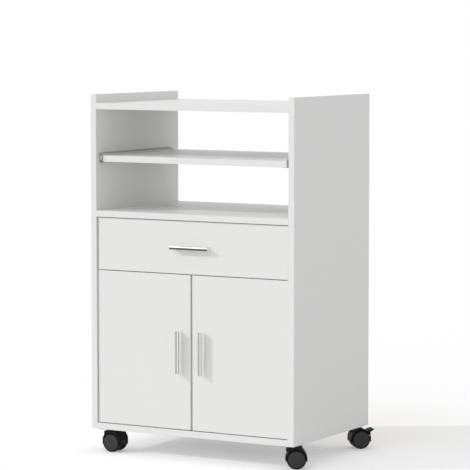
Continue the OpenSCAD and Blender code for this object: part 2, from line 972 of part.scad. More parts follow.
// Hood: a shell over both wheels, the web between them that holds the axle,
// and the boss that turns on the king pin
module hood(braked) {
    difference() {
        union() {
            difference() {
                intersection() {
                    across(2 * hood_half_w)
                        hood_outline(braked ? brake_hood_slope : hood_slope);
                    linear_extrude(boss_top)
                        hood_plan();
                }
                if (braked)
                    pedal_window();
            }
            across(web_t)
                translate([trail, wheel_r])
                    circle(axle_r + hub_wall);
            translate([0, 0, king_end])
                cylinder(h = boss_top - king_end, r = boss_r);
            if (braked)
                across(lug_t)
                    translate([lug_x, lug_z])
                        union() {
                            circle(lug_r);
                            rotate(lug_turn)
                                translate([-2 * lug_r, -lug_r])
                                    square([2 * lug_r, 2 * lug_r]);
                        }
        }
        // room for the wheels
        for (s = SIDE_X)
            translate([trail, s * (web_t / 2 + hood_half_w), wheel_r])
                rotate([90, 0, 0])
                    cylinder(h = 2 * hood_half_w, r = hood_in_r, center = true);
        translate([0, 0, king_end - 0.5])
            cylinder(h = caster_h, r = king_r + king_clear);
        translate([trail, 0, wheel_r])
            rotate([90, 0, 0])
                cylinder(h = web_t + 2 * cut, r = axle_r + hole_clear, center = true);
        if (braked)
            translate([lug_x, 0, lug_z])
                rotate([90, 0, 0])
                    cylinder(h = web_t + 2 * cut, r = pedal_pin_r + hole_clear, center = true);
    }
}

module axle() {
    translate([trail, 0, wheel_r])
        rotate([90, 0, 0])
            cylinder(h = 2 * axle_half_l, r = axle_r, center = true);
}

// A wheel with a blind bore, its outer face on the side s: a crowned cap and,
// outside a narrow groove, a tread with rounded shoulders
module wheel(s) {
    bore_r = axle_r + axle_clear;
    bore_h = axle_half_l - wheel_y + 0.5;
    shoulder = 2;
    flat_r = wheel_r - shoulder;
    groove_half = 0.4;
    edge = 0.3;
    disc_r = cap_r - groove_half - edge;
    translate([trail, s * wheel_y, wheel_r])
        rotate([-90 * s, 0, 0])
            rotate_extrude($fn = 128)
                polygon([
                    [bore_r, 0], [flat_r, 0],
                    for (a = [-75:15:75])
                        [flat_r + shoulder * cos(a), wheel_w / 2 * (1 + sin(a))],
                    [flat_r, wheel_w],
                    [cap_r + groove_half + edge, wheel_w], [cap_r + groove_half, wheel_w - cap_groove],
                    [cap_r - groove_half, wheel_w - cap_groove],
                    for (k = [6:-1:0])
                        [disc_r * k / 6, wheel_w + cap_crown * (1 - k * k / 36)],
                    [0, bore_h], [bore_r, bore_h]
                ]);
}

// Brake pedal: a barrel slotted round the hood's lug with its pin across the
// slot, a ribbed foot plate and a shoe that hangs over the wheels
module brake_pedal() {
    tip = [15.2, 5.8];
    back = [-1.2, pedal_r - 0.3];
    crest = [13, 8.2];
    shoe_x = pedal_r - 0.1;
    shoe_t = 2.2;
    shoe_drop = 9;
    rib_r = 0.8;
    slope = (crest[1] - back[1]) / (crest[0] - back[0]);
    translate([lug_x, 0, lug_z]) {
        difference() {
            union() {
                across(pedal_w)
                    union() {
                        circle(pedal_r);
                        polygon([back, [2.6, -2.2], tip, [tip[0] - 0.6, tip[1] + 1.6], crest]);
                        translate([shoe_x, -shoe_drop])
                            square([shoe_t, shoe_drop + 2]);
                    }
                for (x = [4.5:2.6:9.7])
                    translate([x, 0, back[1] + slope * (x - back[0])])
                        rotate([90, 0, 0])
                            cylinder(h = pedal_w, r = rib_r, center = true, $fn = 24);
            }
            // slot for the lug, and below it for the hood's web
            translate([-lug_r - 4, -pedal_slot / 2, -shoe_drop - cut])
                cube([lug_r + 4 + lug_r + 0.4, pedal_slot, shoe_drop + cut + lug_r + 1]);
            translate([0, -pedal_slot / 2, -shoe_drop - cut])
                cube([shoe_x + shoe_t + cut, pedal_slot, shoe_drop + cut - lug_r]);
        }
        rotate([90, 0, 0])
            cylinder(h = pedal_slot + 2, r = pedal_pin_r, center = true);
    }
}

// ---------- Assembly ----------

side_panel_left();
side_panel_right();
top_board();
fixed_shelf();
front_rail();
bottom_panel();
back_panel();
inner_shelf();
shelf_pins();
cam_locks();
cam_bolts();
shelf_channel_left();
shelf_channel_right();
drawer_channel_left();
drawer_channel_right();
hinge_plates();
magnet_catches();
caster_plates();
pull_out_shelf();
shelf_rail_left();
shelf_rail_right();
shelf_front_rollers();
shelf_rear_rollers();
drawer_front();
drawer_side_left();
drawer_side_right();
drawer_back();
drawer_bottom();
drawer_rail_left();
drawer_rail_right();
drawer_handle();
drawer_front_rollers();
drawer_rear_rollers();
door_left();
door_right();
door_handle_left();
door_handle_right();
door_bushes_left();
door_bushes_right();
strike_plate_left();
strike_plate_right();
for (i = [0:3]) {
    braked = len(search(i, BRAKED)) > 0;
    color("dimgray")
        at_corner(i) hood(braked);
    color("silver")
        at_corner(i) axle();
    color("black")
        at_corner(i) wheel(-1);
    color("black")
        at_corner(i) wheel(1);
}
for (i = BRAKED)
    color("dimgray")
        at_corner(i) brake_pedal();
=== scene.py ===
import json
import math
import bpy
import bmesh
from mathutils import Matrix, Vector


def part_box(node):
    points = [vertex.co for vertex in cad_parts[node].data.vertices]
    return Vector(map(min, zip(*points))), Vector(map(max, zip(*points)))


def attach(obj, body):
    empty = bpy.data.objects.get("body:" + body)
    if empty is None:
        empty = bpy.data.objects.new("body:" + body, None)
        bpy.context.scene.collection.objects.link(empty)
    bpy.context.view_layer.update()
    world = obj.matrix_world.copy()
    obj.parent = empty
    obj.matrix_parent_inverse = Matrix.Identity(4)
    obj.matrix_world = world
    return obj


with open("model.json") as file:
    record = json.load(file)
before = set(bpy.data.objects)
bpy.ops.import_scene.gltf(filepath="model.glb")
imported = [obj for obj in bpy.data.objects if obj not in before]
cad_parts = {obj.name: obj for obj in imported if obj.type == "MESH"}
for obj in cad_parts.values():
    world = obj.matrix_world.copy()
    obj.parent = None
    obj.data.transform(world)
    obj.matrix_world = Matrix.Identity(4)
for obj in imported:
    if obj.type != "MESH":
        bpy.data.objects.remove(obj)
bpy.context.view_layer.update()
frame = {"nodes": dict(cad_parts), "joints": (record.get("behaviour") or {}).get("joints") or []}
nodes = frame["nodes"]

# ---------- Laminated boards ----------
# Side panels, top board, shelves, rail, bottom panel and the fronts are cut from
# particle board with a white melamine face. A thin band is glued round their
# edges, and its joint shows as a hairline just inside each edge.

BOARDS = ["side_panel_left", "side_panel_right", "top_board", "fixed_shelf", "front_rail",
          "bottom_panel", "inner_shelf", "pull_out_shelf", "drawer_front", "door_left", "door_right"]
MELAMINE = (0.875, 0.875, 0.868)
MELAMINE_SATIN = 0.4  # its roughness
PEARL = 0.0006  # size of the face's fine grain
PEARL_DEPTH = 0.00002
CLOUD = 0.11  # size of the faint clouds on the first board
CLOUD_STEP = 0.005  # and how much larger they are on each next one
RUB = 0.02  # size of the places that cleaning has polished
BAND_T = 0.0006
BAND_LINE = (0.60, 0.60, 0.58)
BAND_LINE_T = 0.00014
EASE_W = 0.0005  # width of the eased edges
EASE_STEPS = 2
EASE_FROM_DEG = 40.0  # edges flatter than this stay as they are
SAME_CORNER = 0.00001  # corners closer than this are one


class Value:
    """A number, vector or colour that varies over a surface."""

    def __init__(self, shading, socket):
        self.shading = shading
        self.socket = socket

    def math(self, operation, *values):
        return self.shading.node("ShaderNodeMath", {"operation": operation}, dict(enumerate(values)))

    def __add__(self, other):
        return self.math("ADD", self, other)

    def __sub__(self, other):
        return self.math("SUBTRACT", self, other)

    def __rsub__(self, other):
        return self.math("SUBTRACT", other, self)

    def __mul__(self, other):
        return self.math("MULTIPLY", self, other)

    def __abs__(self):
        return self.math("ABSOLUTE", self)

    __radd__ = __add__
    __rmul__ = __mul__

    def most(self, other):
        return self.math("MAXIMUM", self, other)

    def root(self):
        return self.math("SQRT", self)

    def swing(self, amount):
        """Turns 0 to 1 into a swing of amount in all, half below zero and half above."""
        return (self - 0.5) * amount

    def rise(self, low, high):
        """0 below low and 1 above high, smooth between them; falls where low > high."""
        span = {"Value": self, "From Min": low, "From Max": high}
        return self.shading.node("ShaderNodeMapRange", {"interpolation_type": "SMOOTHSTEP"}, span)


class Shading:
    """A tree of nodes, and the shader in it that they feed."""

    def __init__(self, tree, shader):
        self.tree = tree
        self.shader = tree.nodes[shader]

    def node(self, kind, settings=None, sockets=None, out=0):
        """Adds any node: its settings first, then the values or links of its sockets."""
        made = self.tree.nodes.new(kind)
        for key, value in (settings or {}).items():
            setattr(made, key, value)
        for key, value in (sockets or {}).items():
            self.feed(made.inputs[key], value)
        return Value(self, made.outputs[out])

    def feed(self, socket, value):
        """Links a Value to a socket, or sets it to a plain number or colour."""
        if isinstance(value, Value):
            self.tree.links.new(value.socket, socket)
        else:
            socket.default_value = value

    def set(self, name, value):
        """Feeds the shader's socket of this name."""
        self.feed(self.shader.inputs[name], value)


class Finish(Shading):
    """One material, with its shader maths written as expressions on Values."""

    def __init__(self, name, colour, roughness, metallic=0.0, **settings):
        self.material = bpy.data.materials.new(name)
        self.material.use_nodes = True
        super().__init__(self.material.node_tree, "Principled BSDF")
        self.set("Base Color", (*colour, 1.0))
        self.set("Roughness", roughness)
        self.set("Metallic", metallic)
        for socket, value in settings.items():
            self.set(socket.replace("_", " "), value)
        self.place = self.node("ShaderNodeTexCoord", out="Object")
        self.facing = self.node("ShaderNodeTexCoord", out="Normal")

    def axis(self, vector, letter):
        """One axis of a place or direction."""
        return self.node("ShaderNodeSeparateXYZ", None, {0: vector}, letter)

    def noise(self, size, detail=2.0, stretch=(1, 1, 1), roughness=0.5):
        """Cloudy values about 0.5; their features are size metres, times stretch on each axis."""
        scale = tuple(1 / (size * s) for s in stretch)
        spot = self.node("ShaderNodeMapping", None, {"Vector": self.place, "Scale": scale})
        return self.node("ShaderNodeTexNoise", None,
                         {"Vector": spot, "Scale": 1.0, "Detail": detail, "Roughness": roughness})

    def mix(self, mask, first, second):
        """first where mask is 0 and second where it is 1; either is a colour or a Value."""
        pair = [c if isinstance(c, Value) else (*c, 1.0) for c in (first, second)]
        # the node's sockets 6 and 7 are its two colours, and its output 2 is the mixed one
        sockets = {"Factor": mask, 6: pair[0], 7: pair[1]}
        return self.node("ShaderNodeMix", {"data_type": "RGBA"}, sockets, 2)

    def relief(self, height, depth):
        """Raises the surface by height, whose 0 to 1 stands for depth metres."""
        self.set("Normal", self.node("ShaderNodeBump", None,
                                     {"Height": height, "Strength": 1.0, "Distance": depth}))

    def coat_nodes(self, *names):
        """Gives pieces of the frame this material."""
        for name in names:
            nodes[name].data.materials.clear()
            nodes[name].data.materials.append(self.material)


def tint(colour, factor):
    """A darker or lighter shade of a colour."""
    return tuple(c * factor for c in colour)


def band_joint(finish, low, high):
    """1 on the hairline that runs round each face of a board, one band's thickness in."""
    sizes = [high[i] - low[i] for i in range(3)]
    thin = sizes.index(min(sizes))
    mask = None
    for i in range(3):
        if i == thin:
            continue
        along = finish.axis(finish.place, "XYZ"[i])
        middle = (low[i] + high[i]) / 2
        inset = sizes[i] / 2 - abs(along - middle)
        line = abs(inset - BAND_T).rise(BAND_LINE_T, BAND_LINE_T / 2)
        mask = line if mask is None else mask.most(line)
    return mask


def melamine(name, low, high, seed):
    """White melamine: a fine pearl grain, faint clouding and the joint of the edge band."""
    finish = Finish(name, MELAMINE, MELAMINE_SATIN, Specular_IOR_Level=0.45)
    grain = finish.noise(PEARL, 3.0)
    cloud = finish.noise(CLOUD + CLOUD_STEP * seed, 3.0)
    rub = finish.noise(RUB, 4.0, (1.0, 1.0, 3.0))
    shade = grain.swing(0.05) + cloud.swing(0.07) + 0.5
    face = finish.mix(shade, tint(MELAMINE, 0.955), tint(MELAMINE, 1.045))
    finish.set("Base Color", finish.mix(band_joint(finish, low, high), face, BAND_LINE))
    finish.set("Roughness", rub.swing(0.16) + grain.swing(0.12) + MELAMINE_SATIN)
    finish.relief(grain, PEARL_DEPTH)
    return finish


def ease(board):
    """Takes the sharpness off a board's edges, as the trimmer of its bands does."""
    weld = board.modifiers.new("joined_corners", "WELD")
    weld.merge_threshold = SAME_CORNER
    bevel = board.modifiers.new("eased_edges", "BEVEL")
    bevel.width = EASE_W
    bevel.segments = EASE_STEPS
    bevel.angle_limit = math.radians(EASE_FROM_DEG)
    bevel.harden_normals = True


for seed, board in enumerate(BOARDS):
    melamine("melamine_" + board, *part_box(board), seed).coat_nodes(board)
    ease(nodes[board])

# ---------- Drawer box ----------
# Sides and back of the drawer are thinner boards wrapped in a matt foil with a
# faint linen grain. They are glued end to face, to each other and to the front.

FOIL = (0.83, 0.83, 0.82)
THREAD = 0.0009  # thickness of the linen's threads
THREAD_LENGTH = 14  # times their thickness
LINEN_DEPTH = 0.00003

foil = Finish("foil_board", FOIL, 0.55)
thread_y = foil.noise(THREAD, stretch=(1, THREAD_LENGTH, 1))
thread_z = foil.noise(THREAD, stretch=(1, 1, THREAD_LENGTH))
linen = (thread_y + thread_z) * 0.5
foil.set("Base Color", foil.mix(linen, tint(FOIL, 0.94), tint(FOIL, 1.05)))
foil.set("Roughness", linen * 0.2 + 0.46)
foil.relief(linen, LINEN_DEPTH)
foil.coat_nodes("drawer_side_left", "drawer_side_right", "drawer_back")

# ---------- Hardboard ----------
# Back panel and drawer bottom are thin fibreboard, painted white on the side that
# shows in use and left raw and brown, with loose fibres, on the other.

PAINTED = (0.84, 0.84, 0.83)
RAW_DARK = (0.30, 0.185, 0.095)
RAW_LIGHT = (0.52, 0.37, 0.22)
FLECK_BROWN = (0.16, 0.09, 0.045)
FIBRE = 0.0035  # size of the loose fibres
FIBRE_DEPTH = 0.00008
PATCH = 0.045  # size of lighter and darker patches
FLECK = 0.0011  # size of the dark flecks


def hardboard(name, raw_axis, raw_sign):
    """Fibreboard whose raw face looks along raw_sign on raw_axis."""
    finish = Finish(name, PAINTED, 0.5)
    fibre = finish.noise(FIBRE, 5.0, (1.6, 1.0, 0.8), roughness=0.65)
    patch = finish.noise(PATCH, 3.0)
    fleck = finish.noise(FLECK)
    raw = (finish.axis(finish.facing, raw_axis) * raw_sign).rise(0.4, 0.6)
    brown = finish.mix(fibre * 0.7 + patch * 0.3, RAW_DARK, RAW_LIGHT)
    brown = finish.mix(fleck.rise(0.66, 0.74) * 0.5, brown, FLECK_BROWN)
    white = finish.mix(patch, tint(PAINTED, 0.97), PAINTED)
    finish.set("Base Color", finish.mix(raw, white, brown))
    finish.set("Roughness", raw * 0.35 + fleck * 0.12 + 0.42)
    finish.relief(fibre * raw + fleck * 0.15, FIBRE_DEPTH)
    return finish


hardboard("fibreboard_back", "Y", 1).coat_nodes("back_panel")
hardboard("fibreboard_bottom", "Z", -1).coat_nodes("drawer_bottom")

# ---------- Zinc-plated fittings ----------
# Shelf pins, cam bolts, hinge plates, strike plates and axles are steel with a
# thin bright zinc plating; the cam housings are die-cast zinc.

PLATED = (0.66, 0.675, 0.69)
DIE_CAST = (0.5, 0.51, 0.52)
CRYSTAL = 0.0025  # size of the plating's crystals
SCRATCH = 0.0006  # width of the scratches
SCRATCH_LENGTH = 12  # times their width
SCRATCH_DEPTH = 0.00001


def zinc(name, colour, dullness):
    """Zinc with small cloudy crystals and fine handling scratches."""
    finish = Finish(name, colour, dullness, metallic=1.0)
    crystal = finish.noise(CRYSTAL, 3.0)
    scratch = finish.noise(SCRATCH, stretch=(1, SCRATCH_LENGTH, 1))
    finish.set("Base Color", finish.mix(crystal, tint(colour, 0.86), colour))
    finish.set("Roughness", crystal * 0.14 + scratch * 0.1 + dullness - 0.1)
    finish.relief(scratch, SCRATCH_DEPTH)
    return finish


plated = zinc("zinc_plated", PLATED, 0.32)
plated.coat_nodes("shelf_pins", "cam_bolts", "hinge_plates", "strike_plate_left", "strike_plate_right")
cast = zinc("zinc_cast", DIE_CAST, 0.5)
cast.coat_nodes("cam_locks")

# ---------- Screws ----------
# Every fitting is held by cross-recess screws. Only their heads show: low pan
# heads on plates and rails, flat heads where something passes over them.

# a head's outline from its recess to its foot, as shares of its radius and height
CROWN = ((0.72, 0.97), (0.9, 0.8), (1.0, 0.45), (1.0, 0.0))
RECESS_REACH = 0.62  # length of the cross's arms, as a share of the radius
RECESS_HALF_W = 0.13
RECESS_FLOOR = 0.35  # as a share of the height
SMOOTH_DEG = 35  # faces that meet flatter than this shade as one
SCREW_TURN = 0.7  # radians by which a recess stands turned from the one before


def new_object(name, bm, material, smooth_deg=None):
    """Turns a bmesh into an object of the scene with one material."""
    bmesh.ops.recalc_face_normals(bm, faces=bm.faces)
    mesh = bpy.data.meshes.new(name)
    bm.to_mesh(mesh)
    bm.free()
    if smooth_deg is not None:
        mesh.shade_smooth()
        mesh.set_sharp_from_angle(angle=math.radians(smooth_deg))
    mesh.materials.append(material)
    made = bpy.data.objects.new(name, mesh)
    bpy.context.scene.collection.objects.link(made)
    return made


def cross_outline(arm, half_w):
    """The twelve corners of an upright cross, counter-clockwise."""
    corners = []
    for quarter in range(4):
        a = quarter * math.pi / 2
        for x, y in ((arm, -half_w), (arm, half_w), (half_w, half_w)):
            corners.append((x * math.cos(a) - y * math.sin(a), x * math.sin(a) + y * math.cos(a)))
    return corners


def screw_head(radius, height):
    """A screw head on the plane z = 0 with a cross recess, as a mesh."""
    bm = bmesh.new()
    cross = cross_outline(RECESS_REACH * radius, RECESS_HALF_W * radius)
    angles = [math.atan2(y, x) for x, y in cross]

    def ring(points, z):
        return [bm.verts.new((x, y, z)) for x, y in points]

    rows = [ring(cross, RECESS_FLOOR * height), ring(cross, height)]
    for out, up in CROWN:
        circle = [(out * radius * math.cos(a), out * radius * math.sin(a)) for a in angles]
        rows.append(ring(circle, up * height))
    for lower, upper in zip(rows, rows[1:]):
        for k in range(len(cross)):
            after = (k + 1) % len(cross)
            bm.faces.new([lower[k], lower[after], upper[after], upper[k]])
    bm.faces.new(rows[0])
    bm.faces.new(rows[-1])
    bmesh.ops.recalc_face_normals(bm, faces=bm.faces)
    head = bpy.data.meshes.new("screw_head")
    bm.to_mesh(head)
    bm.free()
    return head


def screws(name, body, places, radius, height, sunk):
    """Screw heads at (point, outward direction) places, as one piece on a body."""
    head = screw_head(radius, height)
    joined = bmesh.new()
    for turn, (point, outward) in enumerate(places):
        start = len(joined.verts)
        joined.from_mesh(head)
        joined.verts.ensure_lookup_table()
        seat = Matrix.Translation(Vector(point) - sunk * Vector(outward))
        aim = Vector(outward).to_track_quat("Z", "Y").to_matrix().to_4x4()
        spin = Matrix.Rotation(SCREW_TURN * turn, 4, "Z")
        bmesh.ops.transform(joined, matrix=seat @ aim @ spin, verts=joined.verts[start:])
    bpy.data.meshes.remove(head)
    piece = new_object(name, joined, plated.material, SMOOTH_DEG)
    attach(piece, body)


# ---------- Roller slides ----------
# Cabinet members and rails are rolled from thin steel with a light epoxy coat.
# Nylon rollers turn on rivets; years of rolling leave a faint grey track on the
# flanges they run on.

EPOXY = (0.70, 0.70, 0.685)
EPOXY_SATIN = 0.38
WORN_GREY = (0.33, 0.33, 0.33)
PEEL = 0.0009  # size of the orange peel in the coat
PEEL_DEPTH = 0.00003
SMEAR = 0.012  # size of the worn places in the track
TRACK_IN = 0.0045  # middle of the track from the slide's outer face
TRACK_EDGE = 0.0028  # half width of the track
TRACK_FULL = 0.0016  # half width of the part that is worn most
SLIDE_T = 0.0012
RAIL_FOOT_IN = 0.006  # screws from the foot's free edge
SLIDE_SCREWS = (0.15, 0.5, 0.85)  # shares of the length
# heads of screws, and how deep they are sunk in what they hold
CHANNEL_HEAD = {"radius": 0.0033, "height": 0.0013, "sunk": 0.0004}
RAIL_HEAD = {"radius": 0.0035, "height": 0.0018, "sunk": 0.0}
NYLON = (0.80, 0.80, 0.765)
FLOW = 0.004  # size of the clouds left by the flow of the melt
NYLON_GRAIN = 0.0008
NYLON_DEPTH = 0.00002


def epoxy(name, node, side):
    """Powder-coated steel with the rollers' track along its flanges."""
    low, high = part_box(node)
    finish = Finish(name, EPOXY, EPOXY_SATIN)
    peel = finish.noise(PEEL)
    smear = finish.noise(SMEAR, 3.0, (1, 6, 1))
    middle = (low.x if side < 0 else high.x) - side * TRACK_IN
    across = abs(finish.axis(finish.place, "X") - middle).rise(TRACK_EDGE, TRACK_FULL)
    flat = abs(finish.axis(finish.facing, "Z")).rise(0.8, 0.95)
    worn = across * flat * smear.rise(0.3, 0.65)
    finish.set("Base Color", finish.mix(worn * 0.55, EPOXY, WORN_GREY))
    finish.set("Roughness", peel.swing(0.2) + EPOXY_SATIN - worn * 0.12)
    finish.relief(peel, PEEL_DEPTH)
    return finish


def channel_screws(channel, side):
    """Flat-headed screws through the web of a cabinet member into the side panel."""
    low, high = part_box(channel)
    inner = (low.x if side < 0 else high.x) - side * SLIDE_T
    middle = (low.z + high.z) / 2
    places = [((inner, low.y + share * (high.y - low.y), middle), (-side, 0, 0))
              for share in SLIDE_SCREWS]
    screws(channel + "_screws", "cabinet", places, **CHANNEL_HEAD)


def rail_screws(rail, body, side):
    """Pan-headed screws up through a rail's foot into the board that it carries."""
    low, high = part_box(rail)
    foot = (high.x if side < 0 else low.x) + side * RAIL_FOOT_IN
    places = [((foot, low.y + share * (high.y - low.y), low.z), (0, 0, -1))
              for share in SLIDE_SCREWS]
    screws(rail + "_screws", body, places, **RAIL_HEAD)


nylon = Finish("moulded_nylon", NYLON, 0.42, Subsurface_Weight=0.08, Subsurface_Scale=0.002)
flow = nylon.noise(FLOW, 3.0)
nylon.set("Base Color", nylon.mix(flow, tint(NYLON, 0.93), NYLON))
nylon.set("Roughness", flow * 0.18 + 0.34)
nylon.relief(nylon.noise(NYLON_GRAIN), NYLON_DEPTH)

for part, body in (("shelf", "pull_out"), ("drawer", "drawer")):
    for side, word in ((-1, "left"), (1, "right")):
        channel = f"{part}_channel_{word}"
        rail = f"{part}_rail_{word}"
        epoxy("epoxy_" + channel, channel, side).coat_nodes(channel)
        epoxy("epoxy_" + rail, rail, side).coat_nodes(rail)
        channel_screws(channel, side)
        rail_screws(rail, body, side)
    nylon.coat_nodes(part + "_front_rollers", part + "_rear_rollers")

# ---------- Door pivots ----------
# The doors turn in nylon bushes on pins of thin plates. One plate is screwed on
# the bottom panel and one under the rail, at each side.

HINGE_PLATE_W = 0.021
HINGE_PLATE_T = 0.0012
HINGE_SCREWS_FROM_REAR = (0.022, 0.007)
HINGE_HEAD = {"radius": 0.0036, "height": 0.0012, "sunk": 0.0002}

nylon.coat_nodes("door_bushes_left", "door_bushes_right")
plates_low, plates_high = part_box("hinge_plates")
lower_plate_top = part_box("bottom_panel")[1].z + HINGE_PLATE_T
upper_plate_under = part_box("front_rail")[0].z - HINGE_PLATE_T
hinge_places = []
for outer_x, side in ((plates_low.x, -1), (plates_high.x, 1)):
    x = outer_x - side * HINGE_PLATE_W / 2
    for back in HINGE_SCREWS_FROM_REAR:
        y = plates_high.y - back
        hinge_places.append(((x, y, lower_plate_top), (0, 0, 1)))
        hinge_places.append(((x, y, upper_plate_under), (0, 0, -1)))
screws("hinge_plate_screws", "cabinet", hinge_places, **HINGE_HEAD)

# ---------- Magnet catches ----------
# A magnet in a white moulded case under the rail holds each door shut. It grips a
# steel plate on the door with two pole plates that stand in the case's mouth.

CASE = (0.82, 0.82, 0.80)
PEBBLE = 0.0007
PEBBLE_DEPTH = 0.00004
POLE_W = 0.030
POLE_D = 0.0014
POLE_H = 0.0018
POLE_PITCH = 0.0045
POLE_IN = 0.0005  # from the front of the case to the middle of a plate
POLE_EASE = 0.0002
STRIKE_SCREW_OUT = 0.014  # screws from the middle of the plate
CATCH_SCREW_OUT = 0.018  # screws from the middle of the case
STRIKE_HEAD = {"radius": 0.0026, "height": 0.0006, "sunk": 0.0004}
CATCH_HEAD = {"radius": 0.0028, "height": 0.0012, "sunk": 0.0002}

case = Finish("catch_case", CASE, 0.45)
pebble = case.noise(PEBBLE)
case.set("Base Color", case.mix(pebble, tint(CASE, 0.95), CASE))
case.set("Roughness", pebble * 0.2 + 0.36)
case.relief(pebble, PEBBLE_DEPTH)
case.coat_nodes("magnet_catches")


def magnet_poles(name, middle):
    """The two pole plates of a magnet, one above the other about the middle."""
    poles = bmesh.new()
    for level in (-1, 1):
        place = Matrix.Translation(middle + Vector((0, 0, level * POLE_PITCH / 2)))
        size = Matrix.Diagonal((POLE_W, POLE_D, POLE_H, 1))
        made = bmesh.ops.create_cube(poles, size=1, matrix=place @ size)
        edges = list({edge for vert in made["verts"] for edge in vert.link_edges})
        bmesh.ops.bevel(poles, geom=edges, offset=POLE_EASE, segments=EASE_STEPS, affect="EDGES")
    piece = new_object(name, poles, cast.material, SMOOTH_DEG)
    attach(piece, "cabinet")


catch_low, catch_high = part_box("magnet_catches")
catch_middle = (catch_low + catch_high) / 2
for word in ("left", "right"):
    low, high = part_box("strike_plate_" + word)
    strike = (low + high) / 2
    places = [((strike.x + side * STRIKE_SCREW_OUT, high.y, strike.z), (0, 1, 0)) for side in (-1, 1)]
    screws("strike_screw_" + word, "door_" + word, places, **STRIKE_HEAD)
    magnet_poles("magnet_poles_" + word, Vector((strike.x, catch_low.y + POLE_IN, catch_middle.z)))
    places = [((strike.x + side * CATCH_SCREW_OUT, catch_middle.y, catch_low.z), (0, 0, -1))
              for side in (-1, 1)]
    screws("catch_screws_" + word, "cabinet", places, **CATCH_HEAD)

# ---------- Handles ----------
# Each handle is a cut length of aluminium profile, brushed along its length and
# anodised. Its crowned lip carries painted shade: the door handles' lips are darker
# over their left part and on their right side, the drawer handle's over its lower
# half, and these parts are rougher too. Two machine screws hold it from behind the front.

BRIGHT = (0.82, 0.82, 0.81)
# the web is the same metal as the lip; its lighter colour is painted light
WEB_PAINTED_TONE = (0.89, 0.89, 0.88)
LIP_T = 0.0035
LIP_FADE = 0.0003  # depth over which lip and web pass into each other
BRUSH = 0.00035  # width of the brushed lines
BRUSH_LENGTH = 60  # times their width
BRUSH_DEPTH = 0.00001
HAZE = 0.03  # size of the dull places
# painted shades of a lip: colour of the painted shade, and the offsets from its middle where it starts
# and is full
DOOR_PAINTED_SHADES = (((0.40, 0.40, 0.39), 0.0020, 0.0012), ((0.34, 0.34, 0.33), 0.0040, 0.0044))
DRAWER_PAINTED_SHADES = (((0.16, 0.16, 0.155), 0.0012, 0.0004),)
HANDLE_HOLES = 0.096
HANDLE_HEAD = {"radius": 0.0042, "height": 0.0022, "sunk": 0.0}


def brushed(name, handle, along, across, painted_shades):
    """Anodised profile with fine lines along one axis and painted shade across its lip."""
    low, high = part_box(handle)
    finish = Finish(name, BRIGHT, 0.25, metallic=1.0)
    stretch = [BRUSH_LENGTH if letter == along else 1 for letter in "XYZ"]
    line = finish.noise(BRUSH, 3.0, stretch, roughness=0.6)
    haze = finish.noise(HAZE)
    middle = (low["XYZ".index(across)] + high["XYZ".index(across)]) / 2
    offset = finish.axis(finish.place, across) - middle
    lip_with_painted_shade = finish.mix(line, tint(BRIGHT, 0.9), tint(BRIGHT, 1.1))
    dull = 0.0
    # each painted shade darkens part of the lip's colour, and makes that part duller
    for shade, start, full in painted_shades:
        painted_shade_step = offset.rise(start, full)
        lip_with_painted_shade = finish.mix(painted_shade_step, lip_with_painted_shade, shade)
        dull = painted_shade_step + dull
    lip = finish.axis(finish.place, "Y").rise(low.y + LIP_T + LIP_FADE, low.y + LIP_T)
    # the web's own colour, lighter than the lip's, is painted light
    web = finish.mix(line, tint(WEB_PAINTED_TONE, 0.92), tint(WEB_PAINTED_TONE, 1.08))
    finish.set("Base Color", finish.mix(lip, web, lip_with_painted_shade))
    finish.set("Roughness", line * 0.12 + haze * 0.08 + dull * lip * 0.4 + 0.15)
    finish.relief(line, BRUSH_DEPTH)
    return finish


def handle_screws(handle, front, body, along):
    """Two machine screws through a front, their heads on its rear face."""
    low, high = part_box(handle)
    middle = (low + high) / 2
    middle.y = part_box(front)[1].y
    places = []
    for end in (-1, 1):
        point = middle.copy()
        point["XYZ".index(along)] += end * HANDLE_HOLES / 2
        places.append((point, (0, 1, 0)))
    screws(handle + "_screws", body, places, **HANDLE_HEAD)


brushed("anodised_across", "drawer_handle", "X", "Z", DRAWER_PAINTED_SHADES).coat_nodes("drawer_handle")
handle_screws("drawer_handle", "drawer_front", "drawer", "X")
for word in ("left", "right"):
    handle = "door_handle_" + word
    door = "door_" + word
    brushed("anodised_upright_" + word, handle, "Z", "X", DOOR_PAINTED_SHADES).coat_nodes(handle)
    handle_screws(handle, door, door, "Z")

# ---------- Caster plates ----------
# A plate of black-coated steel is screwed under each corner of the cabinet. Two
# zinc-plated washers run on each other round its king pin, above the hood.

PLATE_BLACK = (0.03, 0.03, 0.032)
PLATE_DARK = (0.022, 0.022, 0.024)
PLATE_LIGHT = (0.05, 0.05, 0.053)
PLATE_DEPTH = 0.00004
PLATE_T = 0.0025
PLATE_HOLE_OUT = 0.012  # from the king pin, along the cabinet and across it
PLATE_HEAD = {"radius": 0.0038, "height": 0.0021, "sunk": 0.0003}
CORNERS = ["front_left", "front_right", "rear_left", "rear_right"]
KING_R = 0.0042
# radius of each washer, and the heights of its faces over the hood
WASHERS = ((0.0106, 0.0002, 0.0013), (0.0092, 0.0014, 0.0027))
WASHER_EASE = 0.0003
WASHER_STEPS = 32

plate = Finish("black_plate", PLATE_BLACK, 0.35)
peel = plate.noise(PEEL)
plate.set("Roughness", peel * 0.25 + 0.25)
plate.set("Base Color", plate.mix(peel, PLATE_DARK, PLATE_LIGHT))
plate.relief(peel, PLATE_DEPTH)
plate.coat_nodes("caster_plates")


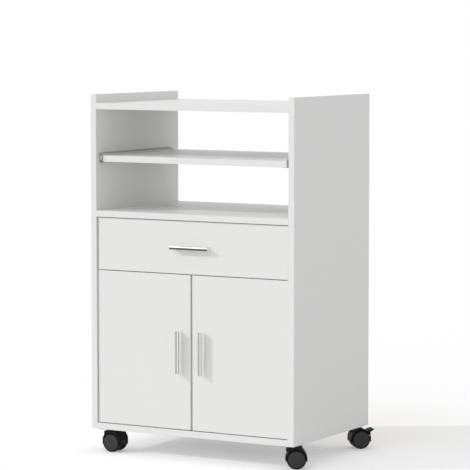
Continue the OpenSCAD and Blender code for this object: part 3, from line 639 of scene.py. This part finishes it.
def washer(bm, radius, bottom, top):
    """Turns a washer with eased outer edges about the Z axis."""
    outline = [(KING_R, bottom), (radius - WASHER_EASE, bottom), (radius, bottom + WASHER_EASE),
               (radius, top - WASHER_EASE), (radius - WASHER_EASE, top), (KING_R, top)]
    turns = [2 * math.pi * k / WASHER_STEPS for k in range(WASHER_STEPS)]
    rings = [[bm.verts.new((r * math.cos(a), r * math.sin(a), z)) for a in turns] for r, z in outline]
    for lower, upper in zip(rings, rings[1:] + rings[:1]):
        for k in range(WASHER_STEPS):
            after = (k + 1) % WASHER_STEPS
            bm.faces.new([lower[k], lower[after], upper[after], upper[k]])


joint_at = {joint["name"]: joint for joint in frame["joints"]}
plate_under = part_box("caster_plates")[1].z - PLATE_T
plate_places = []
for corner in CORNERS:
    pin_x, pin_y = joint_at["swivel_" + corner]["pos_m"][:2]
    for x in (-PLATE_HOLE_OUT, PLATE_HOLE_OUT):
        for y in (-PLATE_HOLE_OUT, PLATE_HOLE_OUT):
            plate_places.append(((pin_x + x, pin_y + y, plate_under), (0, 0, -1)))
    washers = bmesh.new()
    for size in WASHERS:
        washer(washers, *size)
    bmesh.ops.translate(washers, verts=washers.verts, vec=(pin_x, pin_y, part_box("hood_" + corner)[1].z))
    piece = new_object("swivel_washers_" + corner, washers, plated.material, SMOOTH_DEG)
    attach(piece, "caster_" + corner)
screws("caster_plate_screws", "cabinet", plate_places, **PLATE_HEAD)

# ---------- Casters ----------
# Black twin-wheel casters: a moulded nylon hood turns on the king pin and carries
# two wheels on a steel axle. The rear ones have a brake pedal of the same nylon.

HOOD_BLACK = (0.009, 0.009, 0.010)
WHEEL_CAP = (0.048, 0.048, 0.050)
WHEEL_TREAD = (0.008, 0.008, 0.009)
DUST = (0.10, 0.097, 0.09)
SPARK = 0.0006  # size of the moulds' spark-eroded texture
HOOD_DEPTH = 0.00006
DUST_CLOUD = 0.012
TREAD_R = 0.0213
TREAD_FADE = 0.0004  # half the width over which cap and tread pass into each other
SCUFF = 0.004  # size of the scuffed places on the tread
SCUFF_DEPTH = 0.00008


def moulded_black(name):
    """Black nylon with a spark-eroded texture and some dust in its clouds."""
    finish = Finish(name, HOOD_BLACK, 0.5, Specular_IOR_Level=0.12)
    spark = finish.noise(SPARK)
    cloud = finish.noise(DUST_CLOUD, 4.0)
    base = finish.mix(spark, tint(HOOD_BLACK, 0.75), tint(HOOD_BLACK, 1.3))
    finish.set("Base Color", finish.mix(cloud.rise(0.45, 0.8) * 0.2, base, DUST))
    finish.set("Roughness", spark * 0.2 + cloud * 0.12 + 0.36)
    finish.relief(spark, HOOD_DEPTH)
    return finish


def wheel_nylon(name, centre, axis):
    """Wheel: a satin cap and, beyond TREAD_R from the axle, a scuffed darker tread."""
    finish = Finish(name, WHEEL_CAP, 0.45, Specular_IOR_Level=0.15)
    arm = finish.node("ShaderNodeVectorMath", {"operation": "SUBTRACT"}, {0: finish.place, 1: centre})
    along = finish.node("ShaderNodeVectorMath", {"operation": "DOT_PRODUCT"}, {0: arm, 1: axis}, "Value")
    reach = finish.node("ShaderNodeVectorMath", {"operation": "LENGTH"}, {0: arm}, "Value")
    radius = (reach * reach - along * along).most(0.0).root()
    tread = radius.rise(TREAD_R - TREAD_FADE, TREAD_R + TREAD_FADE)
    spark = finish.noise(SPARK)
    scuff = finish.noise(SCUFF, 4.0, (1.5, 1.5, 0.6))
    cap = finish.mix(spark, tint(WHEEL_CAP, 0.85), tint(WHEEL_CAP, 1.15))
    worn = finish.mix(scuff.rise(0.5, 0.72) * 0.3, WHEEL_TREAD, DUST)
    finish.set("Base Color", finish.mix(tread, cap, worn))
    finish.set("Roughness", tread * 0.2 + spark * 0.15 + scuff * 0.1 + 0.28)
    finish.relief(spark * 0.4 + scuff * tread * 0.6, SCUFF_DEPTH)
    return finish


hood_nylon = moulded_black("hood_nylon")
pedal_nylon = moulded_black("pedal_nylon")
for corner in CORNERS:
    hood_nylon.coat_nodes("hood_" + corner)
    plated.coat_nodes("axle_" + corner)
    for letter in "ab":
        spin = joint_at[f"wheel_spin_{letter}_{corner}"]
        wheel = f"wheel_{letter}_{corner}"
        wheel_nylon("nylon_" + wheel, spin["pos_m"], spin["axis"]).coat_nodes(wheel)
    if "brake_pedal_" + corner in nodes:
        pedal_nylon.coat_nodes("brake_pedal_" + corner)

# ---------- Floor, light and camera ----------
# A plain white studio: even light from all round, a small lamp high on the left for
# the shadows of the handles, a broad one near it, and a long lens from the right.

FLOOR_SIDE = 14.0
FLOOR_WHITE = (0.86, 0.86, 0.86)
FLOOR_GLOW = 0.3
SKY = 0.62
# lamps: strength, angle across in degrees, and the way towards them
WINDOW = (0.94, 2.0, (-27.0, -18.5, 18.0))
FILL = (0.33, 60.0, (-6.0, -30.0, 16.0))
LENS_MM = 192.2
SENSOR_MM = 36.0
SIGHT_M = 100.0  # how far the camera sees
CAMERA_AT = (3.266, -5.648, 1.1175)
CAMERA_YAW = 29.94
CAMERA_PITCH = -4.84


def seen_plainly(shading):
    """1 where the camera sees the backdrop, also in a reflection, and 0 where it lights."""
    rays = [shading.node("ShaderNodeLightPath", out=f"Is {kind} Ray")
            for kind in ("Camera", "Glossy", "Transmission")]
    return rays[0].most(rays[1]).most(rays[2])


def sun(name, strength, angle_deg, toward):
    """A distant lamp that lights the cart from one direction."""
    lamp_data = bpy.data.lights.new(name, "SUN")
    lamp_data.energy = strength
    lamp_data.angle = math.radians(angle_deg)
    lamp = bpy.data.objects.new(name, lamp_data)
    lamp.rotation_euler = Vector(toward).to_track_quat("Z", "Y").to_euler()
    bpy.context.scene.collection.objects.link(lamp)


floor_bm = bmesh.new()
bmesh.ops.create_grid(floor_bm, x_segments=2, y_segments=2, size=FLOOR_SIDE / 2)
paper = Finish("studio_floor", FLOOR_WHITE, 0.9, Specular_IOR_Level=0.0)
paper.set("Emission Color", seen_plainly(paper) * FLOOR_GLOW)
paper.set("Emission Strength", 1.0)
floor = new_object("studio_floor", floor_bm, paper.material)

world = bpy.data.worlds.new("studio")
world.use_nodes = True
bpy.context.scene.world = world
backdrop = Shading(world.node_tree, "Background")
backdrop.set("Color", (1.0, 1.0, 1.0, 1.0))
backdrop.set("Strength", seen_plainly(backdrop) * (1 - SKY) + SKY)

sun("window", *WINDOW)
sun("fill", *FILL)

camera_data = bpy.data.cameras.new("camera")
camera_data.lens = LENS_MM
camera_data.sensor_width = SENSOR_MM
camera_data.clip_end = SIGHT_M
camera = bpy.data.objects.new("camera", camera_data)
camera.location = CAMERA_AT
camera.rotation_euler = (math.radians(90.0 + CAMERA_PITCH), 0.0, math.radians(CAMERA_YAW))
bpy.context.scene.collection.objects.link(camera)
bpy.context.scene.camera = camera
bpy.context.scene.view_settings.view_transform = "Standard"
